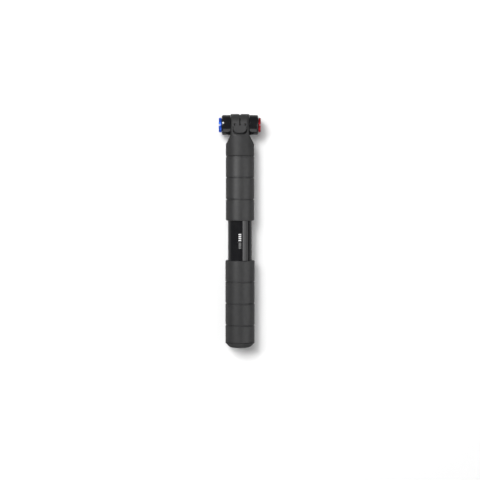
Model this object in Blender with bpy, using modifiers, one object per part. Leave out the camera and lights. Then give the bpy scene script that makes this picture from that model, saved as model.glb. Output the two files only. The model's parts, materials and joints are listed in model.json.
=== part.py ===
"""Bicycle mini pump with a twin-valve head, lying on its side with its lever uppermost.

The pump lies along Y with its head at +Y. The valve barrel crosses the head along X: the Presta
port is at -X and the Schrader port at +X. Lengths along the pump are stations, measured from the
flat end of the handle. The handle tube telescopes over the pump barrel and into the upper sleeve.
"""

import math

import bmesh
import bpy
from mathutils import Vector

SEGMENTS = 32
TURN = 2 * math.pi

# Overall
LENGTH = 0.2298
GRIP_LOWER_RADIUS = 0.0144
GRIP_UPPER_RADIUS = 0.0139
AXIS_Z = GRIP_LOWER_RADIUS * math.cos(math.pi / SEGMENTS)
START_Y = -LENGTH / 2

# Grips
GROOVE_HALF_WIDTH = 0.00065
GROOVE_DEPTH = 0.00045
LOWER_GRIP_START = 0.0053
LOWER_GRIP_END = 0.0860
LOWER_GROOVES = (0.0650, 0.0435, 0.0220)
UPPER_GRIP_START = 0.1253
UPPER_GRIP_END = 0.1883
UPPER_GROOVES = (0.1675, 0.1461)

# Fixed barrel and sleeve
BARREL_RADIUS = 0.0100
BARREL_BORE = 0.0090
BARREL_START = 0.0180
BARREL_END = 0.1980
SLEEVE_RADIUS = 0.0128
SLEEVE_BORE = 0.01205
SLEEVE_START = 0.1263
SLEEVE_END = 0.1967
GUIDE_START = 0.0184
GUIDE_END = 0.0330
BUMPER_END = 0.0353

# Sliding handle
TUBE_RADIUS = 0.0118
TUBE_BORE = 0.0109
TUBE_START = 0.0053
TUBE_END = 0.1875
BUSH_START = 0.1745
BUSH_END = 0.1872
CAP_FLANGE = 0.0051
CAP_PLUG_END = 0.0130
CAP_FACE_RADIUS = 0.0097
NUT_START = 0.0133
NUT_END = 0.0164
ROD_RADIUS = 0.0030
ROD_START = 0.0034
ROD_END = 0.1880
PISTON_START = 0.1840
PISTON_END = 0.1965
PISTON_RADIUS = 0.0088

# Head
HOUSING_START = 0.1886
SHOULDER_END = 0.2093
SHOULDER_FLARE = 0.515
NECK_HALF_WIDTH = 0.0091
CHEEK_CORNER = 0.0009
SLOPE_START = 0.2070
SLOPE_END = 0.2200
FLATTER_START = 0.2065
FLATTER_END = 0.2130
FLATTER_CROWN = 0.45
CORNER_POWER = 12.0
CROSS_STATION = 0.2190
EYE_RADIUS = 0.0108
CROSS_Y = START_Y + CROSS_STATION
LOBE_HALF_WIDTH = 0.0066
LOBE_PATH_HALF_WIDTH = 0.0070
RECESS_HALF_WIDTH = 0.0069
RECESS_FLOOR = 0.0074
RECESS_REACH = 0.0104
TAB_HALF_WIDTH = 0.0065
TAB_REACH = 0.0080
TAB_UNDER = 0.0079
TAB_OVER = 0.0105
TAB_SLOPE = 0.035
SLIT_HALF_WIDTH = 0.0006
LEVER_SWING = math.radians(95)
LEVER_TAIL = math.radians(225)

# Valve barrel
CORE_RADIUS = 0.0075
CORE_BORE = 0.0061
CORE_HALF_LENGTH = 0.0170
SHELL_RADIUS = 0.0098
SHELL_START = 0.0094
SHELL_END = 0.0179
SHELL_ROUND = 0.0026
COLLAR_RADIUS = 0.0072
COLLAR_END = {"presta": 0.0208, "schrader": 0.0203}
COLLAR_SLOT = 0.0015
PRESTA_BORE = 0.0032
SCHRADER_BORE = 0.0042
PIN_OFFSET = 0.0051
PIN_RADIUS = 0.0008
PLUNGER_RADIUS = 0.0059
PLUNGER_TRAVEL_PER_RADIAN = 0.0009

# Check valve
SEAT_START = 0.1999
SEAT_END = 0.2024
BALL_RADIUS = 0.0022
BALL_STATION = 0.2041

RUBBER = ((0.035, 0.035, 0.036), 0.62, 0.0)
NYLON = ((0.045, 0.045, 0.046), 0.48, 0.0)
GLOSS_BLACK = ((0.008, 0.008, 0.009), 0.14, 0.6)
BARE_ALUMINIUM = ((0.72, 0.73, 0.74), 0.32, 1.0)
STEEL = ((0.56, 0.57, 0.58), 0.28, 1.0)
BLUE_ANODISED = ((0.030, 0.120, 0.780), 0.30, 0.8)
RED_ANODISED = ((0.430, 0.012, 0.020), 0.30, 0.8)
SEAL_RUBBER = ((0.015, 0.015, 0.015), 0.55, 0.0)
WHITE_ACETAL = ((0.80, 0.80, 0.78), 0.40, 0.0)
BRASS = ((0.72, 0.50, 0.20), 0.30, 1.0)


def clear_scene():
    for obj in list(bpy.data.objects):
        bpy.data.objects.remove(obj, do_unlink=True)


def new_collection(name, hidden):
    collection = bpy.data.collections.new(name)
    bpy.context.scene.collection.children.link(collection)
    collection.hide_render = hidden
    return collection


def finish(name, look):
    colour, roughness, metallic = look
    material = bpy.data.materials.new(name)
    material.use_nodes = True
    shader = material.node_tree.nodes["Principled BSDF"]
    shader.inputs["Base Color"].default_value = (*colour, 1.0)
    shader.inputs["Roughness"].default_value = roughness
    shader.inputs["Metallic"].default_value = metallic
    return material


def add_object(name, data, look=None, parent=None):
    """Links a part when it has a look, or a hidden cutter when it has none."""
    obj = bpy.data.objects.new(name, data)
    if look:
        PARTS.objects.link(obj)
        data.materials.append(finish(name, look))
    else:
        CUTTERS.objects.link(obj)
        obj.hide_render = True
        obj.display_type = "WIRE"
    if parent:
        obj.parent = parent
    return obj


def joint_empty(name, location):
    empty = bpy.data.objects.new(name, None)
    empty.location = location
    empty.empty_display_size = 0.01
    PARTS.objects.link(empty)
    return empty


def along_pump(obj):
    """Local Z becomes the pump's axis and local heights become stations."""
    obj.rotation_mode = "XYZ"
    obj.rotation_euler = (-math.pi / 2, 0.0, 0.0)
    obj.location = (0.0, START_Y, AXIS_Z)


def along_cross(obj, side):
    """Local Z points outward along the valve barrel, to -X or +X, from the pump's axis."""
    obj.rotation_euler = (0.0, side * math.pi / 2, 0.0)
    obj.location = (0.0, CROSS_Y, AXIS_Z)


def turned(name, profile, look=None, parent=None, ring=True, spin=0.0):
    """Screws a profile of (height, radius) points that runs down the outer side."""
    mesh = bpy.data.meshes.new(name)
    points = [
        (radius * math.cos(spin), radius * math.sin(spin), height)
        for height, radius in profile
    ]
    last = len(points)
    edges = [(i, (i + 1) % last) for i in range(last if ring else last - 1)]
    mesh.from_pydata(points, edges, [])
    obj = add_object(name, mesh, look, parent)
    screw = obj.modifiers.new("Screw", "SCREW")
    screw.axis = "Z"
    screw.angle = TURN
    screw.steps = SEGMENTS
    screw.render_steps = SEGMENTS
    screw.use_merge_vertices = True
    screw.merge_threshold = 0.00001
    screw.use_smooth_shade = False
    return obj


def turned_on_pump(name, profile, look=None, parent=None, ring=True):
    obj = turned(name, profile, look, parent, ring, math.pi / SEGMENTS)
    along_pump(obj)
    return obj


def turned_on_cross(name, profile, side, look=None, parent=None, ring=True):
    obj = turned(name, profile, look, parent, ring)
    along_cross(obj, side)
    return obj


def tube_profile(start, end, outer, inner):
    return [(end, outer), (start, outer), (start, inner), (end, inner)]


def disc_profile(start, end, radius):
    return [(end, 0.0), (end, radius), (start, radius), (start, 0.0)]


def seal_profile(middle, centre_radius, section):
    """A round section, run down its outer side first."""
    steps = 6
    points = []
    for i in range(steps):
        angle = math.pi / 2 - TURN * (i + 0.5) / steps
        points.append(
            (middle + section * math.sin(angle), centre_radius + section * math.cos(angle))
        )
    return points


def boolean(target, other, operation="DIFFERENCE", solver="EXACT"):
    modifier = target.modifiers.new(other.name, "BOOLEAN")
    modifier.object = other
    modifier.operation = operation
    modifier.solver = solver


def box_cutter(name, low, high):
    mesh = bpy.data.meshes.new(name)
    work = bmesh.new()
    bmesh.ops.create_cube(work, size=1.0)
    size = Vector(high) - Vector(low)
    bmesh.ops.scale(work, vec=size, verts=work.verts)
    work.to_mesh(mesh)
    work.free()
    cutter = add_object(name, mesh)
    cutter.location = (Vector(low) + Vector(high)) / 2
    return cutter


def round_bar(name, radius, start, end, sides, look=None, parent=None):
    """A plain cylinder between two points."""
    mesh = bpy.data.meshes.new(name)
    work = bmesh.new()
    run = Vector(end) - Vector(start)
    bmesh.ops.create_cone(
        work,
        cap_ends=True,
        segments=sides,
        radius1=radius,
        radius2=radius,
        depth=run.length,
    )
    work.to_mesh(mesh)
    work.free()
    bar = add_object(name, mesh, look)
    bar.rotation_mode = "QUATERNION"
    bar.rotation_quaternion = run.to_track_quat("Z", "Y")
    bar.location = (Vector(start) + Vector(end)) / 2
    if parent:
        keep_in_place(bar, parent)
    return bar


def keep_in_place(obj, parent):
    obj.parent = parent
    obj.matrix_parent_inverse = parent.matrix_world.inverted()


def curve_made_mesh(curve_object, name, look=None, parent=None):
    """Turns a curve into a mesh object with welded caps and removes the curve."""
    bpy.context.view_layer.update()
    graph = bpy.context.evaluated_depsgraph_get()
    mesh = bpy.data.meshes.new_from_object(curve_object.evaluated_get(graph))
    work = bmesh.new()
    work.from_mesh(mesh)
    bmesh.ops.remove_doubles(work, verts=work.verts, dist=0.000001)
    bmesh.ops.recalc_face_normals(work, faces=work.faces)
    work.to_mesh(mesh)
    work.free()
    mesh.materials.clear()
    made = add_object(name, mesh, look)
    made.matrix_world = curve_object.matrix_world
    bpy.data.objects.remove(curve_object, do_unlink=True)
    if parent:
        keep_in_place(made, parent)
    return made


def flat_prism(name, outline, low, high, axis):
    """A closed outline made solid from low to high along X or Z.

    The outline holds (X, Y) points for Z and (Y, Z) points for X.
    """
    curve = bpy.data.curves.new(name + "_outline", "CURVE")
    curve.dimensions = "2D"
    curve.fill_mode = "BOTH"
    curve.extrude = (high - low) / 2
    spline = curve.splines.new("POLY")
    spline.points.add(len(outline) - 1)
    for point, (first, second) in zip(spline.points, outline):
        point.co = (first, second, 0.0, 1.0)
    spline.use_cyclic_u = True
    guide = bpy.data.objects.new(name + "_outline", curve)
    CUTTERS.objects.link(guide)
    middle = (high + low) / 2
    guide.rotation_mode = "XYZ"
    if axis == "X":
        guide.rotation_euler = (math.pi / 2, 0.0, math.pi / 2)
        guide.location = (middle, CROSS_Y, AXIS_Z)
    else:
        guide.location = (0.0, CROSS_Y, AXIS_Z + middle)
    return curve_made_mesh(guide, name)


def swing_point(angle, radius):
    """(Y, Z) about the cross axis: 0 faces the handle, 90 degrees the lever side."""
    return (-radius * math.cos(angle), radius * math.sin(angle))


def wedge(start, end, radius, steps=10):
    """An outline from the cross axis that fans out between two swing angles."""
    points = [(0.0, 0.0)]
    for i in range(steps + 1):
        points.append(swing_point(start + (end - start) * i / steps, radius))
    return points


def rounded_tongue(half_width, reach, corner, top):
    """A tongue outline in (X, Y) with a rounded lower end."""
    points = [(half_width, top)]
    for centre_x, first in ((half_width - corner, 0.0), (corner - half_width, -90.0)):
        for i in range(7):
            angle = math.radians(first - 15.0 * i)
            points.append(
                (
                    centre_x + corner * math.cos(angle),
                    corner - reach + corner * math.sin(angle),
                )
            )
    points.append((-half_width, top))
    return points


# The handle, which slides


def grip_profile(start, end, outer, inner, grooves):
    lip = 0.0006
    points = [(end, inner + 0.0002), (end, outer - lip), (end - lip, outer)]
    for groove in grooves:
        points.append((groove + GROOVE_HALF_WIDTH, outer))
        points.append((groove + GROOVE_HALF_WIDTH / 2, outer - GROOVE_DEPTH))
        points.append((groove - GROOVE_HALF_WIDTH / 2, outer - GROOVE_DEPTH))
        points.append((groove - GROOVE_HALF_WIDTH, outer))
    points.append((start, outer))
    points.append((start, inner))
    points.append((end - 0.0002, inner))
    return points


def make_lower_grip(handle):
    profile = grip_profile(
        LOWER_GRIP_START,
        LOWER_GRIP_END,
        GRIP_LOWER_RADIUS,
        TUBE_RADIUS + 0.00015,
        LOWER_GROOVES,
    )
    turned_on_pump("lower_grip", profile, RUBBER, handle)


def make_handle_tube(handle):
    profile = tube_profile(TUBE_START, TUBE_END, TUBE_RADIUS, TUBE_BORE)
    turned_on_pump("handle_tube", profile, GLOSS_BLACK, handle)


def make_handle_bush(handle):
    profile = tube_profile(
        BUSH_START, BUSH_END, TUBE_BORE - 0.0001, BARREL_RADIUS + 0.00015
    )
    turned_on_pump("handle_bush", profile, WHITE_ACETAL, handle)


def make_end_cap(handle):
    plug = TUBE_BORE - 0.0001
    hole = ROD_RADIUS + 0.0001
    profile = [
        (0.0032, 0.0),
        (0.0032, hole),
        (CAP_PLUG_END, hole),
        (CAP_PLUG_END, plug),
        (CAP_FLANGE, plug),
        (CAP_FLANGE, GRIP_LOWER_RADIUS),
        (0.0044, GRIP_LOWER_RADIUS),
        (0.0010, 0.0116),
        (0.0, CAP_FACE_RADIUS),
        (0.0, 0.0),
    ]
    turned_on_pump("end_cap", profile, NYLON, handle, ring=False)


def make_rod_nut(handle):
    start = Vector((0.0, START_Y + NUT_START, AXIS_Z))
    end = Vector((0.0, START_Y + NUT_END, AXIS_Z))
    nut = round_bar("rod_nut", 0.0055, start, end, 6, STEEL, handle)
    profile = disc_profile(NUT_START - 0.002, NUT_END + 0.002, ROD_RADIUS + 0.0001)
    boolean(nut, turned_on_pump("rod_nut_bore", profile, ring=False))


def make_piston_rod(handle):
    screw_hole = 0.00135
    profile = [
        (0.1775, 0.0),
        (0.1775, screw_hole),
        (ROD_END, screw_hole),
        (ROD_END, ROD_RADIUS),
        (ROD_START, ROD_RADIUS),
        (ROD_START, 0.0),
    ]
    turned_on_pump("piston_rod", profile, STEEL, handle, ring=False)


def make_piston(handle):
    groove_floor = 0.0073
    profile = [
        (PISTON_END, PISTON_RADIUS - 0.0006),
        (PISTON_END - 0.0006, PISTON_RADIUS),
        (0.1922, PISTON_RADIUS),
        (0.1922, groove_floor),
        (0.1900, groove_floor),
        (0.1900, PISTON_RADIUS),
        (PISTON_START, PISTON_RADIUS),
        (PISTON_START, ROD_RADIUS + 0.0001),
        (ROD_END + 0.0003, ROD_RADIUS + 0.0001),
        (ROD_END + 0.0003, 0.0014),
        (0.1936, 0.0014),
        (0.1936, 0.0029),
        (PISTON_END, 0.0029),
    ]
    turned_on_pump("piston", profile, WHITE_ACETAL, handle)
    seal = seal_profile(0.1911, 0.00819, 0.00072)
    turned_on_pump("piston_seal", seal, SEAL_RUBBER, handle)
    screw = [
        (0.1950, 0.0),
        (0.1950, 0.0012),
        (0.1961, 0.0012),
        (0.1961, 0.0026),
        (0.1938, 0.0026),
        (0.1938, 0.00125),
        (0.1780, 0.00125),
        (0.1780, 0.0),
    ]
    turned_on_pump("piston_screw", screw, STEEL, handle, ring=False)


# The fixed barrel and sleeve


def make_upper_grip():
    outer = GRIP_UPPER_RADIUS
    waist = outer - GROOVE_DEPTH
    inner = SLEEVE_RADIUS + 0.00015
    lip = TUBE_RADIUS + 0.0003
    points = [(UPPER_GRIP_END, waist), (0.1874, waist), (0.1872, outer)]
    for groove in UPPER_GROOVES:
        points.append((groove + GROOVE_HALF_WIDTH, outer))
        points.append((groove + GROOVE_HALF_WIDTH / 2, waist))
        points.append((groove - GROOVE_HALF_WIDTH / 2, waist))
        points.append((groove - GROOVE_HALF_WIDTH, outer))
    points.append((UPPER_GRIP_START + 0.0007, outer))
    points.append((UPPER_GRIP_START, outer - 0.0006))
    points.append((UPPER_GRIP_START, lip))
    points.append((SLEEVE_START - 0.0003, lip))
    points.append((SLEEVE_START - 0.0003, inner))
    points.append((UPPER_GRIP_END, inner))
    turned_on_pump("upper_grip", points, RUBBER)


def make_barrel():
    sleeve = tube_profile(SLEEVE_START, SLEEVE_END, SLEEVE_RADIUS, SLEEVE_BORE)
    turned_on_pump("grip_sleeve", sleeve, NYLON)
    barrel = tube_profile(BARREL_START, BARREL_END, BARREL_RADIUS, BARREL_BORE)
    turned_on_pump("pump_barrel", barrel, BARE_ALUMINIUM)
    seal = seal_profile(0.19885, 0.00945, 0.0005)
    turned_on_pump("barrel_seal", seal, SEAL_RUBBER)
    guide = tube_profile(
        GUIDE_START, GUIDE_END, TUBE_BORE - 0.00015, BARREL_RADIUS + 0.0001
    )
    turned_on_pump("barrel_guide_ring", guide, WHITE_ACETAL)
    bumper = tube_profile(
        GUIDE_END + 0.0003, BUMPER_END, TUBE_BORE - 0.00025, BARREL_RADIUS + 0.0001
    )
    turned_on_pump("bumper_ring", bumper, SEAL_RUBBER)


# The head


def head_limits(station):
    """(half width, half depth, crown) of the head: a round bar, sloped and cut to two flat sides."""
    half_width = NECK_HALF_WIDTH + SHOULDER_FLARE * max(0.0, SHOULDER_END - station)
    down = min(1.0, max(0.0, (station - SLOPE_START) / (SLOPE_END - SLOPE_START)))
    drop = GRIP_UPPER_RADIUS - EYE_RADIUS
    half_depth = GRIP_UPPER_RADIUS - drop * down * down * (3.0 - 2.0 * down)
    share = (station - FLATTER_START) / (FLATTER_END - FLATTER_START)
    crown = 1.0 + (FLATTER_CROWN - 1.0) * min(1.0, max(0.0, share))
    past = station - CROSS_STATION
    if past > 0:
        round_depth = math.sqrt(max(0.0, EYE_RADIUS**2 - past * past))
        half_depth = min(half_depth, round_depth)
        crown *= half_depth / EYE_RADIUS
        over = max(0.0, past - (EYE_RADIUS - CHEEK_CORNER))
        half_width -= CHEEK_CORNER - math.sqrt(CHEEK_CORNER**2 - over * over)
    return half_width, half_depth, crown


def section_point(station, radius, angle):
    """Where a ray from the pump's axis leaves the head's section at a station."""
    half_width, half_depth, crown = head_limits(station)
    half_depth += radius - GRIP_UPPER_RADIUS
    across, up = abs(math.cos(angle)), abs(math.sin(angle))
    low, high = 0.0, radius / max(across, 0.2)
    for _ in range(50):
        reach = (low + high) / 2
        x, z = reach * across, reach * up
        top = -1.0
        if x < radius:
            top = half_depth - crown * (radius - math.sqrt(radius * radius - x * x))
        inside = x < half_width and z < top
        if inside:
            fill = (x / half_width) ** CORNER_POWER + (z / top) ** CORNER_POWER
            inside = fill < 1.0
        if inside:
            low = reach
        else:
            high = reach
    return (low * math.cos(angle), low * math.sin(angle))


def housing_stations():
    """(station, radius) up the head, from the seam at the grip to the far side of the eye."""
    grip = GRIP_UPPER_RADIUS
    rows = [(HOUSING_START, grip - GROOVE_DEPTH), (HOUSING_START + 0.0003, grip)]
    for station in (0.1962, 0.1985, 0.2005, 0.2025, 0.2048, 0.2070, 0.2093):
        rows.append((station, grip))
    for station in (0.2110, 0.2130, 0.2150, 0.2170, 0.2200):
        rows.append((station, grip))
    for degrees in (14, 27, 40, 53, 65, 74, 81, 86):
        rows.append((CROSS_STATION + EYE_RADIUS * math.sin(math.radians(degrees)), grip))
    return rows


def housing_loft():
    """A loft of the head's sections, closed at both ends."""
    work = bmesh.new()
    rings = []
    for station, radius in housing_stations():
        squareness = 2.0 + 1.4 * min(1.0, max(0.0, (station - 0.1985) / 0.0108))
        ring = []
        for i in range(SEGMENTS):
            angle = TURN * (i + 0.5) / SEGMENTS
            power = 2.0 / squareness
            across = math.copysign(abs(math.cos(angle)) ** power, math.cos(angle))
            up = math.copysign(abs(math.sin(angle)) ** power, math.sin(angle))
            x, z = section_point(station, radius, math.atan2(up, across))
            ring.append(work.verts.new((x, START_Y + station, AXIS_Z + z)))
        rings.append(ring)
    for low, high in zip(rings, rings[1:]):
        for i in range(SEGMENTS):
            j = (i + 1) % SEGMENTS
            work.faces.new((low[i], low[j], high[j], high[i]))
    work.faces.new(rings[0])
    work.faces.new(rings[-1])
    bmesh.ops.recalc_face_normals(work, faces=work.faces)
    mesh = bpy.data.meshes.new("head_housing")
    work.to_mesh(mesh)
    work.free()
    return mesh


def housing_bore():
    """Sleeve socket, barrel socket, seat, ball chamber and air passage, as one cutter."""
    profile = [
        (0.2130, 0.0),
        (0.2130, 0.0009),
        (0.2108, 0.0009),
        (0.2108, 0.0032),
        (0.2026, 0.0032),
        (0.2026, 0.0070),
        (0.1996, 0.0070),
        (0.1996, BARREL_RADIUS + 0.00015),
        (0.1970, BARREL_RADIUS + 0.00015),
        (0.1970, SLEEVE_RADIUS + 0.00015),
        (HOUSING_START - 0.0020, SLEEVE_RADIUS + 0.00015),
        (HOUSING_START - 0.0020, 0.0),
    ]
    return turned_on_pump("housing_bore", profile, ring=False)


def lobe_path():
    """The space that the lever's lobes sweep, clear of the saddle under the valve barrel."""
    half = LOBE_PATH_HALF_WIDTH
    far = 0.020
    back = swing_point(math.radians(328), 0.0120)
    outline = [
        (0.0, 0.0),
        back,
        (back[0], -far),
        (far, -far),
        (far, far),
        (-0.0030, far),
        (-0.0030, RECESS_FLOOR + 0.0001),
    ]
    return flat_prism("lobe_path", outline, -half, half, "X")


def make_housing():
    housing = add_object("head_housing", housing_loft(), NYLON)
    boolean(housing, housing_bore())
    reach = NECK_HALF_WIDTH + 0.002
    eye_bore = disc_profile(-reach, reach, CORE_RADIUS + 0.00015)
    boolean(housing, turned_on_cross("eye_bore", eye_bore, 1, ring=False))
    boolean(housing, lobe_path())
    outline = rounded_tongue(RECESS_HALF_WIDTH, RECESS_REACH, 0.0052, 0.0050)
    recess = flat_prism("lever_recess", outline, RECESS_FLOOR, 0.0150, "Z")
    boolean(housing, recess, solver="MANIFOLD")


def make_check_valve():
    seat = tube_profile(SEAT_START, SEAT_END, 0.00685, 0.0015)
    turned_on_pump("check_valve_seat", seat, BRASS)
    mesh = bpy.data.meshes.new("check_valve_ball")
    work = bmesh.new()
    bmesh.ops.create_uvsphere(work, u_segments=16, v_segments=8, radius=BALL_RADIUS)
    work.to_mesh(mesh)
    work.free()
    ball = add_object("check_valve_ball", mesh, STEEL)
    ball.location = (0.0, START_Y + BALL_STATION, AXIS_Z)
    make_check_spring()


def make_check_spring():
    turns = 4
    start = 0.2058
    end = 0.2103
    curve = bpy.data.curves.new("check_valve_spring", "CURVE")
    curve.dimensions = "3D"
    curve.bevel_depth = 0.00024
    curve.bevel_resolution = 1
    curve.use_fill_caps = True
    spline = curve.splines.new("POLY")
    count = turns * 10
    spline.points.add(count)
    for i, point in enumerate(spline.points):
        angle = TURN * turns * i / count
        height = start + (end - start) * i / count
        point.co = (0.0021 * math.cos(angle), 0.0021 * math.sin(angle), height, 1.0)
    spring = add_object("check_valve_spring", curve, STEEL)
    along_pump(spring)


# The valve barrel


def make_core():
    half = CORE_HALF_LENGTH
    profile = tube_profile(-half, half, CORE_RADIUS, CORE_BORE)
    core = turned_on_cross("valve_core_tube", profile, 1, GLOSS_BLACK)
    slot = wedge(math.radians(80), math.radians(196), 0.010)
    for side, word in ((-1, "presta"), (1, "schrader")):
        low = side * PIN_OFFSET - 0.0011
        cutter = flat_prism(word + "_pin_slot", slot, low, low + 0.0022, "X")
        boolean(core, cutter)
    start = (0.0, CROSS_Y - 0.010, AXIS_Z)
    end = (0.0, CROSS_Y - 0.004, AXIS_Z)
    boolean(core, round_bar("core_air_hole", 0.0009, start, end, 16))


def make_shell(word, side):
    lip = CORE_HALF_LENGTH + 0.00015
    points = []
    for i in range(6):
        angle = math.radians(90 - 18 * i)
        points.append(
            (
                SHELL_END - SHELL_ROUND + SHELL_ROUND * math.sin(angle),
                SHELL_RADIUS - SHELL_ROUND + SHELL_ROUND * math.cos(angle),
            )
        )
    points.append((SHELL_START, SHELL_RADIUS))
    points.append((SHELL_START, CORE_RADIUS + 0.00015))
    points.append((lip, CORE_RADIUS + 0.00015))
    points.append((lip, CORE_BORE + 0.0001))
    points.append((SHELL_END, CORE_BORE + 0.0001))
    turned_on_cross(word + "_shell", points, side, GLOSS_BLACK)


def make_collar(word, side, bore, look, parent):
    """A screw collar whose end face is cut into six lobes."""
    base = SHELL_END + 0.0003
    end = COLLAR_END[word]
    skirt = CORE_BORE - 0.00015
    round_off = 0.0005
    points = [
        (end, COLLAR_RADIUS - round_off),
        (end - round_off, COLLAR_RADIUS),
        (base, COLLAR_RADIUS),
        (base, skirt),
        (0.0162, skirt),
        (0.0162, bore),
        (end, bore),
    ]
    collar = turned_on_cross(word + "_collar", points, side, look)
    keep_in_place(collar, parent)
    for i in range(3):
        name = f"{word}_collar_slot_{i + 1}"
        half = COLLAR_SLOT / 2
        slot = box_cutter(name, (0.0191, -half, -0.009), (0.0225, half, 0.009))
        slot.location = (side * 0.0208, CROSS_Y, AXIS_Z)
        slot.rotation_euler = (math.radians(60 * i), 0.0, 0.0)
        boolean(collar, slot)


def groove_cutter(word, side):
    """The cam groove that the lever's pin follows, a bar bent round the plunger."""
    steps = 14
    spare = math.radians(12)
    curve = bpy.data.curves.new(word + "_cam_path", "CURVE")
    curve.dimensions = "3D"
    curve.bevel_depth = 0.0013
    curve.bevel_resolution = 2
    curve.use_fill_caps = True
    spline = curve.splines.new("POLY")
    spline.points.add(steps)
    for i, point in enumerate(spline.points):
        swing = -spare + (LEVER_SWING + 2 * spare) * i / steps
        y, z = swing_point(math.pi / 2 + swing, 0.0060)
        x = side * (PIN_OFFSET - PLUNGER_TRAVEL_PER_RADIAN * swing)
        point.co = (x, y, z, 1.0)
    guide = bpy.data.objects.new(word + "_cam_path", curve)
    CUTTERS.objects.link(guide)
    guide.location = (0.0, CROSS_Y, AXIS_Z)
    return curve_made_mesh(guide, word + "_cam_groove")


def make_plunger(word, side, mouth, parent):
    outer = PLUNGER_RADIUS
    floor = 0.0049
    points = [
        (0.0093, outer - 0.0003),
        (0.0090, outer),
        (0.0024, outer),
        (0.0024, floor),
        (0.0014, floor),
        (0.0014, outer),
        (0.0010, outer),
        (0.0010, 0.0015),
        (0.0068, 0.0015),
        (0.0068, mouth),
        (0.0093, mouth),
    ]
    plunger = turned_on_cross(word + "_plunger", points, side, BRASS)
    keep_in_place(plunger, parent)
    boolean(plunger, groove_cutter(word, side))
    seal = seal_profile(0.0019, 0.00547, 0.00044)
    ring = turned_on_cross(word + "_plunger_seal", seal, side, SEAL_RUBBER)
    keep_in_place(ring, parent)


def make_grommet(word, side, bore):
    profile = tube_profile(0.0097, 0.0159, CORE_BORE - 0.0002, bore)
    turned_on_cross(word + "_grommet", profile, side, SEAL_RUBBER)


def make_depressor(parent):
    """The pin that opens a Schrader valve, carried in the plunger's mouth."""
    points = [
        (0.0130, 0.0),
        (0.0130, 0.0008),
        (0.0084, 0.0009),
        (0.0084, 0.0024),
        (0.0071, 0.0024),
        (0.0071, 0.0),
    ]
    pin = turned_on_cross("schrader_depressor", points, 1, BRASS, ring=False)
    keep_in_place(pin, parent)


# The lever


def make_lever(parent):
    half = LOBE_HALF_WIDTH
    inner = CORE_RADIUS + 0.0003
    profile = [
        (half, EYE_RADIUS - 0.0003),
        (half - 0.0003, EYE_RADIUS),
        (-half + 0.0003, EYE_RADIUS),
        (-half, EYE_RADIUS - 0.0003),
        (-half, inner),
        (half, inner),
    ]
    lever = turned_on_cross("lock_lever", profile, 1, NYLON)
    keep_in_place(lever, parent)
    start = LEVER_TAIL
    end = TURN + math.radians(80)
    gap = flat_prism("lobe_gap", wedge(start, end, 0.022), -0.010, 0.010, "X")
    boolean(lever, gap, solver="MANIFOLD")
    notch_points = [(0.0012, 0.0112), (-0.0012, 0.0112), (0.0, 0.0098)]
    notch = turned_on_cross("lobe_notch", notch_points, 1)
    boolean(lever, notch, solver="MANIFOLD")
    outline = rounded_tongue(TAB_HALF_WIDTH, TAB_REACH, 0.0048, 0.0010)
    tab = flat_prism("lever_tab", outline, TAB_UNDER, TAB_OVER, "Z")
    for vertex in tab.data.vertices:
        if vertex.co.z > 0:
            vertex.co.z -= TAB_SLOPE * vertex.co.y
    boolean(lever, tab, "UNION", solver="MANIFOLD")
    low = (-SLIT_HALF_WIDTH, CROSS_Y - 0.0008, AXIS_Z + 0.0030)
    high = (SLIT_HALF_WIDTH, CROSS_Y + 0.013, AXIS_Z + 0.013)
    boolean(lever, box_cutter("lobe_slit", low, high), solver="MANIFOLD")
    for side, word in ((-1, "presta"), (1, "schrader")):
        make_lever_pin(word, side, lever, parent)


def make_lever_pin(word, side, lever, parent):
    x = side * PIN_OFFSET
    hole_start = (x, CROSS_Y, AXIS_Z + 0.0050)
    hole_end = (x, CROSS_Y, AXIS_Z + 0.0125)
    hole = round_bar(word + "_pin_hole", PIN_RADIUS + 0.0001, hole_start, hole_end, 16)
    boolean(lever, hole)
    start = (x, CROSS_Y, AXIS_Z + 0.0053)
    end = (x, CROSS_Y, AXIS_Z + 0.0100)
    round_bar(word + "_lever_pin", PIN_RADIUS, start, end, 16, STEEL, parent)


def make_handle():
    handle = joint_empty("handle_slide", (0.0, START_Y, AXIS_Z))
    bpy.context.view_layer.update()
    for build in (make_lower_grip, make_handle_tube, make_handle_bush, make_end_cap):
        build(handle)
    for build in (make_rod_nut, make_piston_rod, make_piston):
        build(handle)
    for obj in PARTS.objects:
        if obj.parent == handle:
            obj.matrix_parent_inverse = handle.matrix_world.inverted()


def make_valve_side(word, side, bore, mouth, look):
    centre = (0.0, CROSS_Y, AXIS_Z)
    collar_turn = joint_empty(word + "_collar_turn", centre)
    plunger_slide = joint_empty(word + "_plunger_slide", centre)
    bpy.context.view_layer.update()
    make_shell(word, side)
    make_collar(word, side, bore, look, collar_turn)
    make_grommet(word, side, bore - 0.00005)
    make_plunger(word, side, mouth, plunger_slide)
    return plunger_slide


def make_pump():
    make_handle()
    make_upper_grip()
    make_barrel()
    make_housing()
    make_check_valve()
    make_core()
    make_valve_side("presta", -1, PRESTA_BORE, 0.0026, BLUE_ANODISED)
    slide = make_valve_side("schrader", 1, SCHRADER_BORE, 0.0031, RED_ANODISED)
    make_depressor(slide)
    lever_swing = joint_empty("lever_swing", (0.0, CROSS_Y, AXIS_Z))
    bpy.context.view_layer.update()
    make_lever(lever_swing)


def shade_parts():
    """Gives each part its finished mesh, smooth except along its true edges."""
    bpy.context.view_layer.update()
    graph = bpy.context.evaluated_depsgraph_get()
    finished = {}
    for obj in PARTS.objects:
        if obj.type != "EMPTY":
            finished[obj] = bpy.data.meshes.new_from_object(obj.evaluated_get(graph))
    for obj, mesh in finished.items():
        if obj.type == "MESH":
            obj.modifiers.clear()
            obj.data = mesh
        obj.data.name = obj.name
        if obj.type == "MESH":
            mesh.shade_smooth()
            mesh.set_sharp_from_angle(angle=math.radians(24))


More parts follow.
